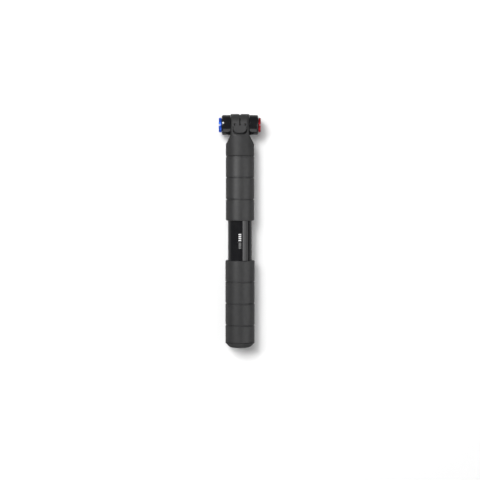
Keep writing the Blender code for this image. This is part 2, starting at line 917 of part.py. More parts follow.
clear_scene()
PARTS = new_collection("mini_pump", False)
CUTTERS = new_collection("cutters", True)
make_pump()
shade_parts()
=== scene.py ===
"""Looks of a bicycle mini pump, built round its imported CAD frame.

The pump lies along Y with its head at +Y and its lever uppermost. Outlines of turned
pieces are in millimetres: stations along the pump count from the flat end of the handle,
and places along the valve barrel count outwards from the pump's axis.
"""

import json
import math

import bmesh
import bpy
import numpy as np
from mathutils import Matrix, Vector


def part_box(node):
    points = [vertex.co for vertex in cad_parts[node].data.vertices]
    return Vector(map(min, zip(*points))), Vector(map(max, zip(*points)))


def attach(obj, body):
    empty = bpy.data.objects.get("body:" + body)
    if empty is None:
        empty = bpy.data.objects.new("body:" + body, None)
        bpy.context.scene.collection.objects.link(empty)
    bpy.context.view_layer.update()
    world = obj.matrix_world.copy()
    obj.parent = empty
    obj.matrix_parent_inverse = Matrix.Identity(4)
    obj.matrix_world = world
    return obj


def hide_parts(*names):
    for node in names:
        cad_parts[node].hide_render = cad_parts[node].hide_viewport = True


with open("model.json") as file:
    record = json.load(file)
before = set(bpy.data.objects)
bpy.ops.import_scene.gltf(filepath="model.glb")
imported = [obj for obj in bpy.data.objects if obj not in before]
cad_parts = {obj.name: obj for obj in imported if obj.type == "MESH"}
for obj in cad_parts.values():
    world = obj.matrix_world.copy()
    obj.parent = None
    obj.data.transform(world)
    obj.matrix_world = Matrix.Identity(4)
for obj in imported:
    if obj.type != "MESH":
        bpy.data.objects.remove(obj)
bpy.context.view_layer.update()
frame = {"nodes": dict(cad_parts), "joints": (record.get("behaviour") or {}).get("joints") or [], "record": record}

MM = 0.001
JOINTS = {joint["name"]: joint for joint in frame["joints"]}
CROSS_Y, AXIS_Z = JOINTS["lever_swing"]["pos_m"][1:]
START_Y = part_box("end_cap")[0].y
CROSS = (CROSS_Y - START_Y) / MM  # the valve barrel's station
CAD_FLAT = math.cos(math.pi / 32)  # the CAD's rings have 32 sides, with a flat facing X
SIDES = {"presta": -1, "schrader": 1}  # the sign of X at each port
TINY = 1e-6


def along(node):
    """(start, end, radius) of a node turned about the pump's axis, in millimetres."""
    low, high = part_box(node)
    return (low.y - START_Y) / MM, (high.y - START_Y) / MM, high.x / CAD_FLAT / MM


def across(node):
    """(inner end, outer end, radius) of a node turned about the valve barrel."""
    low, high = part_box(node)
    ends = sorted((abs(low.x) / MM, abs(high.x) / MM))
    return ends[0], ends[1], (high.z - AXIS_Z) / MM


# Mesh tools

FINE = 192  # segments round the widest turned pieces
SUPPORT = 0.08  # how far past an arc its support point lies


def new_object(name, data):
    obj = bpy.data.objects.new(name, data)
    bpy.context.scene.collection.objects.link(obj)
    return obj


def mesh_from(name, points, faces):
    mesh = bpy.data.meshes.new(name)
    mesh.from_pydata([tuple(p) for p in points], [], faces)
    work = bmesh.new()
    work.from_mesh(mesh)
    bmesh.ops.recalc_face_normals(work, faces=work.faces)
    work.to_mesh(mesh)
    work.free()
    mesh.shade_smooth()
    return new_object(name, mesh)


def rounded(corners, closed=True, steps=5):
    """Makes an arc of each corner (a, b, radius), with a support point at either end."""
    points = []
    last = len(corners)
    for i, (first, second, radius) in enumerate(corners):
        here = np.array((first, second), float)
        if radius == 0 or (not closed and i in (0, last - 1)):
            points.append(here)
            continue
        back = np.array(corners[i - 1][:2], float) - here
        ahead = np.array(corners[(i + 1) % last][:2], float) - here
        back_length, ahead_length = np.linalg.norm(back), np.linalg.norm(ahead)
        back, ahead = back / back_length, ahead / ahead_length
        half = math.acos(max(-1.0, min(1.0, float(back @ ahead)))) / 2
        reach = min(radius / math.tan(half), 0.46 * min(back_length, ahead_length))
        radius = reach * math.tan(half)
        middle = back + ahead
        centre = here + middle / np.linalg.norm(middle) * radius / math.sin(half)
        start, end = here + back * reach - centre, here + ahead * reach - centre
        support = min(reach + SUPPORT, 0.49 * back_length)
        points.append(here + back * support)
        turn = math.pi - 2 * half
        for k in range(steps + 1):
            share = k / steps
            weight = math.sin((1 - share) * turn), math.sin(share * turn)
            points.append(centre + (start * weight[0] + end * weight[1]) / math.sin(turn))
        support = min(reach + SUPPORT, 0.49 * ahead_length)
        points.append(here + ahead * support)
    return points


def on_pump(station, radius, angle):
    """A point round the pump's own axis."""
    return (
        radius * math.cos(angle) * MM,
        START_Y + station * MM,
        AXIS_Z + radius * math.sin(angle) * MM,
    )


def on_cross(side):
    """Places points round the valve barrel, with offsets counted outwards on one side."""

    def place(offset, radius, angle):
        return (
            side * offset * MM,
            CROSS_Y - radius * math.cos(angle) * MM,
            AXIS_Z + radius * math.sin(angle) * MM,
        )

    return place


def lathe(name, corners, place=on_pump, closed=True, segments=160, steps=5):
    """Turns corners (along, radius, corner radius) about the axis that place knows."""
    outline = rounded(corners, closed, steps)
    points, rings = [], []
    for position, radius in outline:
        if radius < TINY:
            rings.append([len(points)])
            points.append(place(position, 0.0, 0.0))
            continue
        first = len(points)
        rings.append(list(range(first, first + segments)))
        for k in range(segments):
            points.append(place(position, radius, 2 * math.pi * k / segments))
    faces = []
    pairs = list(zip(rings, rings[1:]))
    if closed:
        pairs.append((rings[-1], rings[0]))
    for low, high in pairs:
        if len(low) == 1 and len(high) == 1:
            continue
        for k in range(segments):
            j = (k + 1) % segments
            if len(low) == 1:
                faces.append((low[0], high[j], high[k]))
            elif len(high) == 1:
                faces.append((low[k], low[j], high[0]))
            else:
                faces.append((low[k], low[j], high[j], high[k]))
    return mesh_from(name, points, faces)


def prism(name, outline, low, high, place):
    """A closed outline made solid between two levels; place turns them into metres."""
    count = len(outline)
    points = [place(a, b, low) for a, b in outline]
    points += [place(a, b, high) for a, b in outline]
    faces = [tuple(range(count)), tuple(range(count, 2 * count))]
    faces += [
        (i, (i + 1) % count, count + (i + 1) % count, count + i) for i in range(count)
    ]
    return mesh_from(name, points, faces)


def facing_up(x, y, level):
    """A sheet outline in X and in Y from the valve barrel, raised along Z."""
    return (x * MM, CROSS_Y + y * MM, AXIS_Z + level * MM)


def facing_side(y, z, level):
    """An outline in Y and Z about the valve barrel, raised along X."""
    return (level * MM, CROSS_Y + y * MM, AXIS_Z + z * MM)


def swing_point(degrees, radius):
    """A point in Y and Z from the valve barrel; 0 degrees points to the handle."""
    angle = math.radians(degrees)
    return (-radius * math.cos(angle), radius * math.sin(angle))


def settle(obj):
    """Applies the object's modifiers."""
    graph = bpy.context.evaluated_depsgraph_get()
    mesh = bpy.data.meshes.new_from_object(obj.evaluated_get(graph))
    old = obj.data
    obj.modifiers.clear()
    obj.data = mesh
    bpy.data.meshes.remove(old)
    mesh.name = obj.name
    mesh.shade_smooth()


def join_shapes(obj, others, operation):
    """Joins the other meshes to obj, or cuts them out of it, and removes them."""
    for other in others:
        modifier = obj.modifiers.new(other.name, "BOOLEAN")
        modifier.object = other
        modifier.operation = operation
        modifier.solver = "MANIFOLD"
        settle(obj)
        bpy.data.objects.remove(other, do_unlink=True)


def moulded(obj, voxel, softness, share):
    """Rounds every edge as a mould does: an even remesh, smoothed, then thinned."""
    remesh = obj.modifiers.new("remesh", "REMESH")
    remesh.mode = "VOXEL"
    remesh.voxel_size = voxel * MM
    smooth = obj.modifiers.new("smooth", "SMOOTH")
    smooth.factor = 0.5
    smooth.iterations = softness
    thin = obj.modifiers.new("thin", "DECIMATE")
    thin.ratio = share
    settle(obj)


# Material tools


class Nodes:
    """Short ways to add and link shader nodes in one material."""

    def __init__(self, name):
        self.material = bpy.data.materials.new(name)
        self.material.use_nodes = True
        self.tree = self.material.node_tree
        self.shader = self.tree.nodes["Principled BSDF"]
        self.coordinates = self.add("ShaderNodeTexCoord").outputs["Object"]

    def add(self, kind, **values):
        """A new node with its settings; its sockets are left to the caller."""
        node = self.tree.nodes.new(kind)
        for key, value in values.items():
            setattr(node, key, value)
        return node

    def link(self, output, node, socket):
        self.tree.links.new(output, node.inputs[socket])

    def split(self, vector):
        """The X, Y and Z of a vector socket."""
        parts = self.add("ShaderNodeSeparateXYZ")
        self.link(vector, parts, 0)
        return [parts.outputs[i] for i in range(3)]

    def stretched(self, scale, offset=(0, 0, 0)):
        """The object's coordinates, scaled and then moved by offset."""
        mapping = self.add("ShaderNodeMapping")
        mapping.inputs["Location"].default_value = offset
        mapping.inputs["Scale"].default_value = scale
        self.link(self.coordinates, mapping, "Vector")
        return mapping.outputs["Vector"]

    def noise(self, scale, detail=3.0, roughness=0.55, vector=None):
        noise = self.add("ShaderNodeTexNoise")
        noise.inputs["Scale"].default_value = scale
        noise.inputs["Detail"].default_value = detail
        noise.inputs["Roughness"].default_value = roughness
        self.link(vector or self.coordinates, noise, "Vector")
        return noise.outputs["Fac"]

    def cells(self, scale):
        cells = self.add("ShaderNodeTexVoronoi", feature="SMOOTH_F1")
        cells.inputs["Scale"].default_value = scale
        cells.inputs["Smoothness"].default_value = 0.6
        self.link(self.coordinates, cells, "Vector")
        return cells.outputs["Distance"]

    def spread(self, value, low, high, source=(0.3, 0.7)):
        """Maps the source range, the middle of a noise if not given, to low and high."""
        ramp = self.add("ShaderNodeMapRange")
        ramp.inputs["From Min"].default_value = source[0]
        ramp.inputs["From Max"].default_value = source[1]
        ramp.inputs["To Min"].default_value = low
        ramp.inputs["To Max"].default_value = high
        self.link(value, ramp, "Value")
        return ramp.outputs["Result"]

    def math(self, operation, first, second=None):
        node = self.add("ShaderNodeMath", operation=operation)
        for index, value in enumerate((first, second)):
            if value is None:
                continue
            if isinstance(value, (int, float)):
                node.inputs[index].default_value = value
            else:
                self.tree.links.new(value, node.inputs[index])
        return node.outputs["Value"]

    def blend(self, factor, first, second):
        """Mixes two colours, each three numbers or a socket."""
        mix = self.add("ShaderNodeMix", data_type="RGBA")
        self.link(factor, mix, 0)
        for index, value in ((6, first), (7, second)):
            if isinstance(value, tuple):
                mix.inputs[index].default_value = (*value, 1.0)
            else:
                self.tree.links.new(value, mix.inputs[index])
        return mix.outputs[2]

    def mottled(self, first, second, scale, detail=3.0):
        """Two colours mixed by a noise."""
        return self.blend(self.spread(self.noise(scale, detail), 0.0, 1.0), first, second)

    def bump(self, height, strength, distance, under=None):
        bump = self.add("ShaderNodeBump")
        bump.inputs["Strength"].default_value = strength
        bump.inputs["Distance"].default_value = distance * MM
        self.link(height, bump, "Height")
        if under is not None:
            self.link(under, bump, "Normal")
        return bump.outputs["Normal"]

    def set(self, **values):
        """Sets or links the shader's sockets, with _ for the spaces in their names."""
        for key, value in values.items():
            socket = self.shader.inputs[key.replace("_", " ")]
            if isinstance(value, bpy.types.NodeSocket):
                self.tree.links.new(value, socket)
            elif isinstance(value, tuple):
                socket.default_value = (*value, 1.0)
            else:
                socket.default_value = value


DRAWN = (1.0, 0.02, 1.0)  # stretches a noise into streaks along the pump
INK_ROUGHNESS = 0.25  # how much rougher print is than the gloss under it
TUBE_MARK = 105.5  # the station where the bold bars start
DOT_OUT, DOT_AHEAD, DOT_RADIUS = 16.4, 1.8, 0.84  # from where the two axes cross


def rubber_grip():
    n = Nodes("rubber_grip")
    grain = n.bump(n.noise(5200, 2.0), 0.35, 0.05)
    n.set(
        Base_Color=n.mottled((0.021, 0.021, 0.0215), (0.027, 0.027, 0.0275), 260, 4.0),
        Roughness=n.spread(n.noise(1400), 0.40, 0.50),
        Normal=n.bump(n.cells(2600), 0.22, 0.06, grain),
        Specular_IOR_Level=0.5,
    )
    return n.material


def moulded_nylon():
    n = Nodes("moulded_nylon")
    n.set(
        Base_Color=n.mottled((0.020, 0.020, 0.0205), (0.026, 0.026, 0.0265), 220, 4.0),
        Roughness=n.spread(n.noise(900), 0.50, 0.60),
        Normal=n.bump(n.noise(3800, 3.0, 0.6), 0.22, 0.05),
        Specular_IOR_Level=0.4,
    )
    return n.material


def gloss_black(name, marks=None):
    """Polished black anodising; marks may print on its colour and its roughness."""
    n = Nodes(name)
    drawn = n.noise(2600, 3.0, 0.6, n.stretched(DRAWN))
    base = n.mottled((0.006, 0.006, 0.007), (0.009, 0.009, 0.010), 150, 2.0)
    rough = n.spread(drawn, 0.07, 0.11)
    if marks:
        base, rough = marks(n, base, rough)
    n.set(
        Base_Color=base,
        Roughness=rough,
        Normal=n.bump(drawn, 0.05, 0.01),
        Specular_IOR_Level=0.5,
    )
    return n.material


def anodised(name, colour, deep):
    """Coloured anodising with fine rings turned about the valve barrel."""
    n = Nodes(name)
    centred = n.stretched((1, 1, 1), (0.0, -CROSS_Y, -AXIS_Z))
    rings = n.add("ShaderNodeTexWave", wave_type="RINGS", rings_direction="X")
    rings.inputs["Scale"].default_value = 900
    rings.inputs["Distortion"].default_value = 1.5
    rings.inputs["Detail"].default_value = 2.0
    n.link(centred, rings, "Vector")
    n.set(
        Base_Color=n.mottled(colour, deep, 700),
        Metallic=0.75,
        Roughness=n.spread(n.noise(1800, 2.0), 0.26, 0.36),
        Normal=n.bump(rings.outputs["Fac"], 0.08, 0.01),
        Coat_Weight=0.15,
        Coat_Roughness=0.2,
    )
    return n.material


def bare_metal(name, colour, dark, rough):
    n = Nodes(name)
    drawn = n.noise(3200, 4.0, 0.65, n.stretched(DRAWN))
    n.set(
        Base_Color=n.mottled(colour, dark, 180),
        Metallic=1.0,
        Roughness=n.spread(drawn, rough - 0.05, rough + 0.07),
        Normal=n.bump(drawn, 0.12, 0.012),
    )
    return n.material


def seal_rubber():
    n = Nodes("seal_rubber")
    n.set(
        Base_Color=n.mottled((0.010, 0.010, 0.010), (0.018, 0.018, 0.018), 900),
        Roughness=n.spread(n.noise(2400), 0.42, 0.58),
        Normal=n.bump(n.noise(4200, 2.0), 0.2, 0.03),
    )
    return n.material


def acetal():
    n = Nodes("natural_acetal")
    n.set(
        Base_Color=n.mottled((0.74, 0.73, 0.70), (0.82, 0.81, 0.78), 300),
        Roughness=n.spread(n.noise(1500, 2.0), 0.34, 0.44),
        Normal=n.bump(n.noise(2600, 2.0), 0.08, 0.03),
    )
    return n.material


def tube_marks(n, base, rough):
    """Plain printed bars across the bare tube: bold ones, then finer, greyer ones."""
    x, y, z = n.split(n.coordinates)
    upper = n.math("GREATER_THAN", z, AXIS_Z)

    def band(value, centre, half):
        offset = n.math("ABSOLUTE", n.math("SUBTRACT", value, centre))
        return n.math("LESS_THAN", offset, half)

    def row(half_width, start, length, pitch, share):
        """Bars from start towards the head, with ink on the given share of each pitch."""
        place = n.math("SUBTRACT", y, START_Y + (TUBE_MARK + start) * MM)
        bars = n.math("FRACT", n.math("ADD", n.math("DIVIDE", place, pitch * MM), 40))
        shape = n.math("MULTIPLY", upper, n.math("LESS_THAN", bars, share))
        shape = n.math("MULTIPLY", shape, band(x, -0.1 * MM, half_width * MM))
        half = length * MM / 2
        return n.math("MULTIPLY", shape, band(place, half, half))

    bold = row(half_width=1.30, start=0.0, length=7.3, pitch=1.95, share=0.58)
    fine = row(half_width=1.25, start=-7.2, length=6.2, pitch=1.24, share=0.45)
    base = n.blend(bold, base, (0.66, 0.66, 0.66))
    base = n.blend(fine, base, (0.22, 0.22, 0.22))
    ink = n.math("MULTIPLY", n.math("MAXIMUM", bold, fine), INK_ROUGHNESS)
    return base, n.math("ADD", rough, ink)


def dot_mark(n, base, rough):
    """A small white dot on the front of the Presta shell."""
    centred = n.stretched((1, 1, 1), (DOT_OUT * MM, -CROSS_Y - DOT_AHEAD * MM, 0.0))
    x, y, z = n.split(centred)
    squared = n.math("ADD", n.math("MULTIPLY", x, x), n.math("MULTIPLY", y, y))
    inside = n.math("LESS_THAN", n.math("SQRT", squared), DOT_RADIUS * MM)
    dot = n.math("MULTIPLY", inside, n.math("GREATER_THAN", z, AXIS_Z))
    base = n.blend(dot, base, (0.60, 0.60, 0.59))
    return base, n.math("ADD", rough, n.math("MULTIPLY", dot, INK_ROUGHNESS))


MATERIALS = {
    "grip_rubber": rubber_grip(),
    "head_nylon": moulded_nylon(),
    "gloss_black": gloss_black("gloss_black_anodised"),
    "bare_aluminium": bare_metal(
        "drawn_aluminium", (0.74, 0.75, 0.76), (0.66, 0.67, 0.68), 0.24
    ),
    "steel": bare_metal("turned_steel", (0.58, 0.58, 0.59), (0.48, 0.48, 0.49), 0.26),
    "blue_anodised": anodised(
        "blue_anodised", (0.035, 0.150, 0.860), (0.026, 0.115, 0.74)
    ),
    "red_anodised": anodised(
        "red_anodised", (0.500, 0.014, 0.024), (0.410, 0.010, 0.019)
    ),
    "seal_rubber": seal_rubber(),
    "white_acetal": acetal(),
    "brass": bare_metal("turned_brass", (0.76, 0.55, 0.24), (0.66, 0.46, 0.19), 0.28),
}
TUBE_FINISH = gloss_black("gloss_black_tube", tube_marks)
DOTTED_FINISH = gloss_black("gloss_black_dotted", dot_mark)


def paint(obj, material):
    obj.data.materials.clear()
    obj.data.materials.append(material)


def dress(obj, body, slot, node, finish=None):
    """Gives a piece its finish and its body, and hides the CAD node it stands for."""
    paint(obj, finish or MATERIALS[slot])
    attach(obj, body)
    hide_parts(node)


# The handle

GROOVE_DEPTH = 0.75
GROOVE_HALF = 0.65
LOWER_GROOVES = (65.0, 43.5, 22.0)
UPPER_GROOVES = (167.5, 146.1)


def groove(station, radius):
    """The corners of one moulded groove, from its head side to its handle side."""
    depth, half, edge, floor = GROOVE_DEPTH, GROOVE_HALF, 0.22, 0.18
    return [
        (station + half, radius, edge),
        (station + half * 0.55, radius - depth, floor),
        (station - half * 0.55, radius - depth, floor),
        (station - half, radius, edge),
    ]


def make_lower_grip():
    start, end, radius = along("lower_grip")
    tube = along("handle_tube")[2]
    corners = [
        (end, tube + 0.25, 0.2),
        (end, radius - 0.45, 0.25),
        (end - 0.75, radius, 0.35),
    ]
    for station in LOWER_GROOVES:
        corners += groove(station, radius)
    corners += [
        (start + 0.1, radius, 0.25),
        (start + 0.1, tube + 0.1, 0.1),
        (end - 0.4, tube + 0.1, 0.1),
    ]
    grip = lathe("soft_lower_grip", corners, segments=FINE)
    dress(grip, "handle", "grip_rubber", "lower_grip")


def make_end_cap():
    start, end, radius = along("end_cap")
    plug = 10.8
    corners = [
        (3.2, 0.0, 0.0),
        (3.2, 3.1, 0.1),
        (end, 3.1, 0.3),
        (end, plug, 0.4),
        (5.1, plug, 0.1),
        (5.1, radius, 0.3),
        (4.3, radius, 0.9),
        (0.9, 11.3, 1.1),
        (start, 9.6, 0.5),
        (start, 7.6, 0.12),
        (start + 0.25, 7.35, 0.1),
        (start + 0.25, 6.95, 0.1),
        (start, 6.7, 0.12),
        (start, 0.0, 0.0),
    ]
    cap = lathe("closed_end_cap", corners, closed=False, segments=FINE)
    dress(cap, "handle", "head_nylon", "end_cap")


def make_handle_tube():
    start, end, radius = along("handle_tube")
    bore = 10.9
    corners = [
        (end, radius, 0.35),
        (start, radius, 0.2),
        (start, bore, 0.2),
        (end, bore, 0.25),
    ]
    tube = lathe("bare_handle_tube", corners, segments=FINE)
    dress(tube, "handle", "gloss_black", "handle_tube", TUBE_FINISH)


def make_bush():
    start, end, radius = along("handle_bush")
    inner = along("pump_barrel")[2] + 0.15
    corners = [
        (end + 0.15, radius - 0.05, 0.3),
        (start, radius - 0.05, 0.2),
        (start, inner, 0.3),
        (end + 0.15, inner, 0.35),
    ]
    bush = lathe("guide_bush", corners)
    dress(bush, "handle", "white_acetal", "handle_bush")


# The fixed body


def make_upper_grip():
    start, end, radius = along("upper_grip")
    sleeve = along("grip_sleeve")
    lip = along("handle_tube")[2] + 0.3
    waist = radius - 0.45
    corners = [
        (end, waist, 0.1),
        (end - 0.85, waist, 0.18),
        (end - 1.15, radius, 0.22),
    ]
    for station in UPPER_GROOVES:
        corners += groove(station, radius)
    corners += [
        (start, radius, 0.85),
        (start, lip, 0.3),
        (sleeve[0] - 0.2, lip, 0.1),
        (sleeve[0] - 0.2, sleeve[2] + 0.05, 0.1),
        (end, sleeve[2] + 0.05, 0.1),
    ]
    grip = lathe("soft_upper_grip", corners, segments=FINE)
    dress(grip, "pump_body", "grip_rubber", "upper_grip")


def make_barrel():
    start, end, radius = along("pump_barrel")
    corners = [
        (end, radius, 0.3),
        (start, radius, 0.3),
        (start, radius - 1.0, 0.2),
        (end, radius - 1.0, 0.2),
    ]
    barrel = lathe("inner_barrel", corners)
    dress(barrel, "pump_body", "bare_aluminium", "pump_barrel")


# The head

GRIP = along("upper_grip")[2]
EYE = 10.8  # radius of the head and of the lever's lobes about the valve barrel
EYE_BORE = 7.65  # round the valve core tube, in the head and in the shells
NECK_HALF = 9.1  # half the width between the neck's flat sides
SHOULDER_END, SHOULDER_SLOPE = 209.3, 0.515  # where and how steeply the sides open out
CHEEK_CORNER = 0.9
DOWN_START, DOWN_LENGTH = 207.0, 13.0  # the drop from the grip's radius to EYE
FLATTER_START, FLATTER_LENGTH, FLATTER_SHARE = 206.5, 6.5, 0.55  # the crown's loss
SQUARER_START, SQUARER_LENGTH = 198.5, 10.8  # the section turns from round to boxy
LOBE_HALF = 6.93
LOBE_BORE = 7.8
PIN_OUT = 5.1  # the lever pins' distance from the pump's axis
TAB_BOTTOM, TAB_TOP, TAB_SLOPE = 7.9, 10.78, 0.035
DEEP = 20.0  # well outside the head, for cutters


def rise(station, start, length):
    """0 up to start, then rising to 1 over length."""
    return min(1.0, max(0.0, (station - start) / length))


def head_limits(station):
    """(half width, half depth, crown): a round bar, sloped and cut to two flat sides."""
    half_width = NECK_HALF + SHOULDER_SLOPE * max(0.0, SHOULDER_END - station)
    down = rise(station, DOWN_START, DOWN_LENGTH)
    half_depth = GRIP - (GRIP - EYE) * down * down * (3.0 - 2.0 * down)
    crown = 1.0 - FLATTER_SHARE * rise(station, FLATTER_START, FLATTER_LENGTH)
    past = station - CROSS
    if past > 0:
        half_depth = min(half_depth, math.sqrt(max(0.0, EYE * EYE - past * past)))
        crown *= half_depth / EYE
        over = max(0.0, past - (EYE - CHEEK_CORNER))
        half_width -= CHEEK_CORNER - math.sqrt(CHEEK_CORNER**2 - over * over)
    return half_width, half_depth, crown


def head_ring(station, inset, around):
    """Where rays from the pump's axis leave the head's section at a station."""
    half_width, half_depth, crown = head_limits(station)
    radius = GRIP - inset
    half_depth -= inset
    square = 2.0 + 1.4 * rise(station, SQUARER_START, SQUARER_LENGTH)
    angles = 2 * np.pi * (np.arange(around) + 0.5) / around
    right = np.abs(np.cos(angles)) ** (2 / square)
    up = np.abs(np.sin(angles)) ** (2 / square)
    size = np.hypot(right, up)
    right, up = right / size, up / size
    low, high = np.zeros(around), np.full(around, 1.6 * radius)
    for _ in range(40):
        reach = (low + high) / 2
        x, z = reach * right, reach * up
        flat = np.sqrt(np.maximum(radius * radius - x * x, 0.0))
        top = half_depth - crown * (radius - flat)
        fill = (x / half_width) ** 12 + (z / np.maximum(top, TINY)) ** 12
        inside = (x < radius) & (top > 0) & (fill < 1.0)
        low, high = np.where(inside, reach, low), np.where(inside, high, reach)
    return low * right * np.sign(np.cos(angles)), low * up * np.sign(np.sin(angles))


def head_loft(around=144):
    """The head's outer form, lofted from the grip to its round end."""
    start = along("head_housing")[0]
    stations = [start, start + 0.02, start + 0.12, start + 0.3, start + 0.45]
    stations += list(np.linspace(start + 1.0, CROSS, 60))
    stations += [CROSS + EYE * math.sin(math.radians(a)) for a in range(3, 89, 3)]
    points, faces = [], []
    for station in stations:
        inset = 0.45 * max(0.0, 1 - (station - start) / 0.32)
        for x, z in zip(*head_ring(station, inset, around)):
            points.append((x * MM, START_Y + station * MM, AXIS_Z + z * MM))
    for row in range(len(stations) - 1):
        for k in range(around):
            j = (k + 1) % around
            low, high = row * around, (row + 1) * around
            faces.append((low + k, low + j, high + j, high + k))
    faces.append(tuple(range(around)))
    faces.append(tuple(range((len(stations) - 1) * around, len(stations) * around)))
    return mesh_from("head_shell", points, faces)


def tongue(half, reach, corner, top):
    """A tongue's outline in X and Y, with a rounded lower end."""
    corners = [
        (-half, top, 0.0),
        (-half, -reach, corner),
        (half, -reach, corner),
        (half, top, 0.0),
    ]
    return rounded(corners, steps=12)


def make_head():
    head = head_loft()
    eye_bore = lathe(
        "eye_bore",
        [(12, 0, 0), (12, EYE_BORE, 0), (-12, EYE_BORE, 0), (-12, 0, 0)],
        on_cross(1),
        closed=False,
    )
    # Room for the lobes round the barrel, at rest and swung up.
    back = swing_point(328, 12.0)
    outline = [(0, 0), back, (back[0], -DEEP), (DEEP, -DEEP)]
    outline += [(DEEP, DEEP), (-3, DEEP), (-3, 7.5)]
    path = prism("lobe_path", outline, -7, 7, facing_side)
    recess = prism("lever_recess", tongue(6.9, 10.4, 5.2, 5.0), 7.4, 15.0, facing_up)
    socket = lathe(
        "barrel_socket",
        [(199.6, 0, 0), (199.6, 12.95, 0), (187, 12.95, 0), (187, 0, 0)],
        closed=False,
    )
    join_shapes(head, [eye_bore, path, recess, socket], "DIFFERENCE")
    moulded(head, 0.18, 3, 0.4)
    dress(head, "pump_body", "head_nylon", "head_housing")


def make_lever():
    lobes = lathe(
        "lock_lever_arm",
        [
            (LOBE_HALF, EYE, 0.2),
            (-LOBE_HALF, EYE, 0.2),
            (-LOBE_HALF, LOBE_BORE, 0.2),
            (LOBE_HALF, LOBE_BORE, 0.2),
        ],
        on_cross(1),
        segments=144,
    )
    # The lobes reach from just short of the top, at 80 degrees, over the far side to 225.
    fan = [(0, 0)] + [swing_point(225 + 215 * k / 14, 26) for k in range(15)]
    gap = prism("lobe_gap", fan, -10, 10, facing_side)
    vee = [(-2.8, 12.2), (2.8, 12.2), (0.0, 9.5)]
    notch = prism("lobe_notch", vee, -12.0, 12.0, facing_up)
    join_shapes(lobes, [gap, notch], "DIFFERENCE")
    outline = tongue(6.5, 8.0, 4.8, 1.3)
    tab = prism("lever_tab", outline, TAB_BOTTOM, TAB_TOP, facing_up)
    for vertex in tab.data.vertices:  # its top rises towards its tip
        if vertex.co.z > AXIS_Z + (TAB_BOTTOM + TAB_TOP) / 2 * MM:
            vertex.co.z += TAB_SLOPE * (CROSS_Y - vertex.co.y)
    join_shapes(lobes, [tab], "UNION")
    slit = prism(
        "lobe_slit",
        [(-0.42, -1.2), (0.42, -1.2), (0.42, 6.2), (-0.42, 6.2)],
        3.0,
        13.0,
        facing_up,
    )
    cutters = [slit]
    for word, side in SIDES.items():
        hole = [
            (side * PIN_OUT + 0.72 * math.cos(a), -0.1 + 1.12 * math.sin(a))
            for a in np.linspace(0, 2 * math.pi, 33)[:-1]
        ]
        cutters.append(prism(word + "_hole", hole, 5.0, 12.5, facing_up))
    join_shapes(lobes, cutters, "DIFFERENCE")
    moulded(lobes, 0.13, 3, 0.5)
    dress(lobes, "lever", "head_nylon", "lock_lever")


# The ports, one at each end of the valve barrel

COLLAR_BORE = {"presta": 3.2, "schrader": 4.2}
GROMMET_BORE = {"presta": 3.15, "schrader": 4.15}
COLLAR_SLOT = {"presta": "blue_anodised", "schrader": "red_anodised"}


def make_shells():
    inner = NECK_HALF + 0.1
    lip, mouth = 17.15, 6.2
    for word, side in SIDES.items():
        outer, radius = across(word + "_shell")[1:]
        corners = [
            (outer, radius, 2.6),
            (inner, radius, 0.2),
            (inner, EYE_BORE, 0.2),
            (lip, EYE_BORE, 0.1),
            (lip, mouth, 0.1),
            (outer, mouth, 0.15),
        ]
        shell = lathe(word + "_gloss_shell", corners, on_cross(side), steps=10)
        finish = DOTTED_FINISH if word == "presta" else None
        dress(shell, "pump_body", "gloss_black", word + "_shell", finish)


def make_collars():
    flange, stem = 18.2, 5.95
    reach, half = 9, 0.75  # of the slots across the collar
    for word, side in SIDES.items():
        inner, outer, radius = across(word + "_collar")
        bore = COLLAR_BORE[word]
        corners = [
            (outer, radius, 1.25),
            (flange, radius, 0.15),
            (flange, stem, 0.1),
            (inner, stem, 0.2),
            (inner, bore, 0.2),
            (outer, bore, 0.5),
        ]
        collar = lathe(word + "_castle_collar", corners, on_cross(side), segments=144)
        slots = []
        for k in range(3):
            angle = math.radians(90 + 60 * k)
            c, s = math.cos(angle), math.sin(angle)

            def place(a, b, level, c=c, s=s):
                return facing_side(a * c - b * s, a * s + b * c, side * level)

            outline = [(-reach, -half), (reach, -half), (reach, half), (-reach, half)]
            slots.append(prism(f"{word}_slot_{k}", outline, 19.1, 23.0, place))
        join_shapes(collar, slots, "DIFFERENCE")
        moulded(collar, 0.12, 6, 0.6)
        dress(collar, word + "_ring", COLLAR_SLOT[word], word + "_collar")


def make_grommet(word, side):
    inner, outer, radius = across(word + "_grommet")
    bore = GROMMET_BORE[word]
    corners = [
        (outer, radius, 0.3),
        (inner, radius, 0.3),
        (inner, bore, 0.4),
        (outer - 1.2, bore, 0.8),
        (outer, bore + 0.55, 0.3),
    ]
    grommet = lathe(word + "_soft_grommet", corners, on_cross(side))
    dress(grommet, "pump_body", "seal_rubber", word + "_grommet")


def make_lever_pin(word, side):
    low, high, radius = 5.4, 9.2, 0.8
    corners = [
        (high, 0.0, 0.0),
        (high, 0.35, 0.2),
        (high - 0.5, radius, 0.3),
        (low, radius, 0.1),
        (low, 0.0, 0.0),
    ]

    def place(height, reach, angle):
        x, y = side * PIN_OUT + reach * math.cos(angle), reach * math.sin(angle)
        return facing_up(x, y, height)

    pin = lathe(word + "_cam_pin", corners, place, closed=False, segments=48)
    dress(pin, "lever", "steel", word + "_lever_pin")


def dress_cad_nodes():
    """Every CAD node that still shows takes the finish of its own slot."""
    for part in frame["record"]["subparts"]:
        paint(frame["nodes"][part["node"]], MATERIALS[part["material_slot"]])


# The set

FLOOR_HALF = 12.0
CAMERA_STATION, CAMERA_HEIGHT, AIM_STATION = 165.0, 1.13, 106.0
LIGHT_CENTRE = (0.0, 0.0, 0.015)


